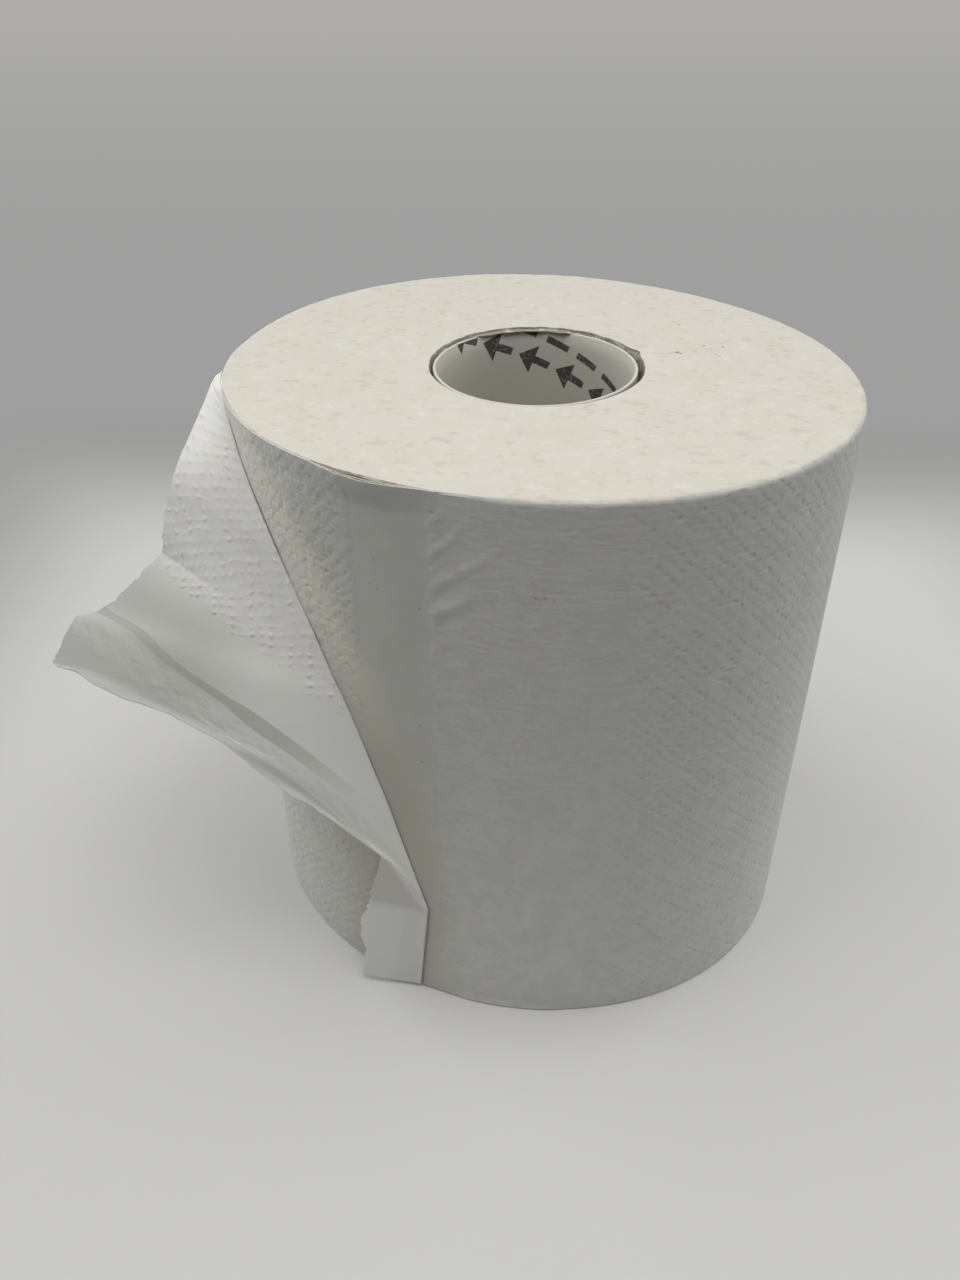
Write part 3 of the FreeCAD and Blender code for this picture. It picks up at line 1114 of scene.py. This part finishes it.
def gap_shadow_material():
    """The turns that only show in gaps: brownish glued paper, darkened further as painted shadow of the
    gaps.
    """
    material, tree = new_material("inner_turns_gap_shadow")
    fibres = grain(tree, 700.0, detail=5.0, roughness=0.7)
    bump = (fibres * HIDDEN_FIBRES).bump()
    torn = grain(tree, 260.0, detail=2.0, stretch=(1, 1, 3)).step(0.52, 0.60)
    tone = mix(fibres.step(0.3, 0.7), GAP_TONE_AND_SHADOW, GAP_TONE_AND_SHADOW_DARKER)
    return finish_material(material, paper(mix(torn * 0.6, tone, CUT_COLOUR), bump))


CARD_COLOUR = (0.622, 0.604, 0.547, 1)
CARD_SHADE = (0.575, 0.556, 0.500, 1)
CARD_EDGE = (0.72, 0.70, 0.64, 1)
INK = (0.05, 0.05, 0.05, 1)

# The printed marks climb round the inside of the core by this slope, so that each turn meets the
# next. The dashes run above the arrows.
CLIMB = radians(22.0)
ROW_PLACE = 156.3 * MM
ARROW_PITCH = 13.5 * MM
DASH_LENGTH = 8.0 * MM
DASH_GAP = 3.5 * MM
DASH_WIDTH = 2.2 * MM
DASH_RISE = 8.2 * MM
INK_EDGE = 0.1 * MM


def arrows(run, rise):
    """A row of plain arrows: heads and shafts."""
    step = (run / ARROW_PITCH).maths("FRACT") * ARROW_PITCH
    side = rise.maths("ABSOLUTE")
    outside = (side - (12 * MM - step) * 0.9).step(-INK_EDGE, INK_EDGE)
    head = step.inside(6.5 * MM, 12 * MM, INK_EDGE) * (1 - outside)
    shaft = step.inside(1 * MM, 6.6 * MM, INK_EDGE) * (1 - side.step(1.2 * MM, 1.4 * MM))
    return head.maths("MAXIMUM", shaft)


def dashes(run, rise):
    """A row of plain dashes."""
    pitch = DASH_LENGTH + DASH_GAP
    step = (run / pitch).maths("FRACT") * pitch
    dash = step.inside(0.5 * DASH_GAP, DASH_LENGTH + 0.5 * DASH_GAP, INK_EDGE)
    return dash * rise.inside(-DASH_WIDTH / 2, DASH_WIDTH / 2, INK_EDGE)


def core_material():
    """Grey-brown card with rows of plain printed marks that climb round the inside."""
    material, tree = new_material("core_card")
    around, height = add_node(tree, "UVMap", {}, uv_map="inside").parts()
    run = around * cos(CLIMB) + height * sin(CLIMB)
    turn = 2 * pi * (CORE_RADIUS - CORE_WALL) * sin(CLIMB)
    rise = height * cos(CLIMB) - around * sin(CLIMB) - (ROW_PLACE - 0.5 * turn)
    rise = (rise / turn).maths("FRACT") * turn - 0.5 * turn
    marks = arrows(run, rise)
    marks = marks.maths("MAXIMUM", dashes(run, rise - DASH_RISE))
    worn = grain(tree, 900.0, detail=3.0).step(0.25, 0.5)
    fibres = grain(tree, 600.0, detail=5.0)
    tone = mix(fibres, CARD_COLOUR, CARD_SHADE)
    edge = height.step(CORE_TOP - 0.25 * MM, CORE_TOP - 0.05 * MM)
    printed = mix(marks * (worn * 0.35 + 0.6), tone, INK)
    edged = mix(edge, printed, CARD_EDGE)
    bump = (fibres * CARD_FIBRES).bump()
    inputs = {"Base Color": edged, "Roughness": 0.8, "Specular IOR Level": 0.2, "Normal": bump}
    return finish_material(material, fibres.node("BsdfPrincipled", inputs))


# --- The studio ---------------------------------------------

FLOOR_SIZE = 60.0
FLOOR_HALF = 0.27
FLOOR_COLOUR = (0.679, 0.679, 0.679, 1)
FLOOR_RIGHT_PAINTED_LIGHT = (0.715, 0.715, 0.715, 1)
FLOOR_BEYOND = (0.28, 0.28, 0.28, 1)
NEAR_BACKDROP = (0.345, 0.345, 0.343, 1)
FAR_BACKDROP = (0.42, 0.415, 0.41, 1)


def make_floor():
    """A pale floor that darkens past a rounded square, as the backdrop of a small studio does."""
    bpy.ops.mesh.primitive_plane_add(size=FLOOR_SIZE)
    floor = bpy.context.object
    floor.name = "studio_floor"
    material, tree = new_material("studio_floor")
    x, y = own_place(tree).parts()
    reach = x.maths("ABSOLUTE").maths("SMOOTH_MAX", y.maths("ABSOLUTE"), 0.08)
    far = reach.step(FLOOR_HALF - 0.07, FLOOR_HALF + 0.17)
    seen = add_node(tree, "LightPath", {})
    backdrop = mix(reach.step(0.4, 3.0), NEAR_BACKDROP, FAR_BACKDROP)
    # Painted light: the floor is paler to the right, where the left lamps cast the roll's shadow.
    near = mix(x.step(0.0, 0.15), FLOOR_COLOUR, FLOOR_RIGHT_PAINTED_LIGHT)
    matt = {"Base Color": mix(far, near, FLOOR_BEYOND), "Roughness": 1.0, "Specular IOR Level": 0.0}
    lit = far.node("BsdfPrincipled", matt)
    even = far.node("Emission", {"Color": backdrop, "Strength": 1.0})
    shader = far.node("MixShader", {0: far * seen, 1: lit, 2: even})
    floor.data.materials.append(finish_material(material, shader))
    return floor


# (name, place, size, power, colour), all facing the middle of the roll.
LAMPS = [
    ("top_softbox", (0.0, 0.0, 1.2), 1.3, 5.2, (1.0, 0.99, 0.965)),
    ("front_softbox", (0.15, -0.4, 1.2), 1.0, 5.1, (1.0, 0.99, 0.965)),
    ("left_softbox", (-0.8, -0.25, 1.0), 0.9, 2.8, (1.0, 0.99, 0.96)),
    ("right_softbox", (0.8, 0.1, 1.0), 0.9, 1.3, (1.0, 1.0, 1.0)),
    ("left_panel", (-1.0, 0.4, 0.35), 0.8, 5.9, (1.0, 1.0, 1.0)),
    ("right_panel", (1.0, 0.4, 0.35), 0.8, 4.2, (1.0, 1.0, 1.0)),
]
WORLD_LIGHT = 0.024


def add_lamp(name, place, size, power, colour):
    """A soft square lamp that faces the roll and isn't seen itself."""
    data = bpy.data.lights.new(name, "AREA")
    data.shape = "SQUARE"
    data.size = size
    data.energy = power
    data.color = colour
    lamp = bpy.data.objects.new(name, data)
    bpy.context.scene.collection.objects.link(lamp)
    lamp.location = place
    towards = Vector((0, 0, WIDTH / 2)) - Vector(place)
    lamp.rotation_euler = towards.to_track_quat("-Z", "Y").to_euler()
    lamp.visible_camera = False


def make_world():
    """An even, weak light from all round, which is seen as the backdrop's tone."""
    world = bpy.data.worlds.new("studio")
    world.use_nodes = True
    tree = world.node_tree
    background = tree.nodes["Background"]
    background.inputs["Color"].default_value = FAR_BACKDROP
    strength = add_node(tree, "LightPath", {}) * (1 - WORLD_LIGHT) + WORLD_LIGHT
    tree.links.new(strength.socket, background.inputs["Strength"])
    bpy.context.scene.world = world


CAMERA_PLACE = (0.0, -325.3 * MM, 322.1 * MM)
CAMERA_YAW = -3.143
CAMERA_PITCH = 35.229
CAMERA_ROLL = -0.443
LENS = 30.46


def make_camera():
    """The camera: turned by its yaw from +Y, tipped down by its pitch, and rolled."""
    yaw, pitch, roll = (radians(a) for a in (CAMERA_YAW, CAMERA_PITCH, CAMERA_ROLL))
    flat = cos(pitch)
    forward = Vector((sin(yaw) * flat, cos(yaw) * flat, -sin(pitch)))
    level = Vector((cos(yaw), -sin(yaw), 0))
    up = level.cross(forward)
    right = cos(roll) * level + sin(roll) * up
    up = cos(roll) * up - sin(roll) * level
    data = bpy.data.cameras.new("camera")
    data.lens = LENS
    data.clip_start = 0.01
    camera = bpy.data.objects.new("camera", data)
    bpy.context.scene.collection.objects.link(camera)
    turn = Matrix((right, up, -forward)).transposed().to_4x4()
    camera.matrix_world = Matrix.Translation(CAMERA_PLACE) @ turn
    bpy.context.scene.camera = camera


# --- Putting it together ------------------------------------


def dress(piece, node, slot, *materials):
    """Gives the piece its materials, hangs it under the root body and hides the imported part it stands
    in for.
    """
    for material in materials:
        piece.data.materials.append(material)
    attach(piece, "root")
    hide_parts(node)


def finish_of(face, on_wall):
    """The face's material: 0 is the wall's, 1 the cut edges' and 2 the hidden turns', dark as painted
    shadow.
    """
    reach = hypot(face.center.x, face.center.y)
    in_mouth = CORE_RADIUS - 3 * MM < reach < CORE_RADIUS + 2 * MM and face.center.z > WIDTH / 2
    if abs(face.normal.z) > 0.7 and not in_mouth:
        return 1
    if reach < CORE_RADIUS + 5 * MM:
        return 2
    if face.center.z < WIDTH - 5 * MM:
        return 0
    azimuth = azimuth_of(face.center)
    # Painted shadow: the loosened turns' inner sides and the wall behind them take the dark paint.
    inward = face.normal.x * face.center.x + face.normal.y * face.center.y < 0
    shaded_gap = on_wall and loosened(azimuth) > 0.18
    return 2 if inward or shaded_gap else 0


def main():
    """Builds the dressed roll and the studio round it."""
    wall, cut = wall_material(), cut_material()
    roll = make_roll()
    wall_faces = len(roll.data.polygons)
    for name, lift, drop, seed in LOOSE_TURNS:
        join(roll, make_loose_turn(name, lift, drop, seed))
    join(roll, make_mouth_ply())
    dress(roll, "paper_roll", "paper", wall, cut, gap_shadow_material())
    for face in roll.data.polygons:
        face.material_index = finish_of(face, face.index < wall_faces)
    tail = make_tail()
    dress(tail, "paper_roll", "paper", tail_material())
    flat, area = flat_tail()
    core = make_core()
    dress(core, "core_tube", "core_card", core_material())
    floor = make_floor()
    make_world()
    for name, place, size, power, colour in LAMPS:
        add_lamp(name, place, size, power, colour)
    make_camera()
    view = bpy.context.scene.view_settings
    view.view_transform = "Standard"
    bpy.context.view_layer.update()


main()
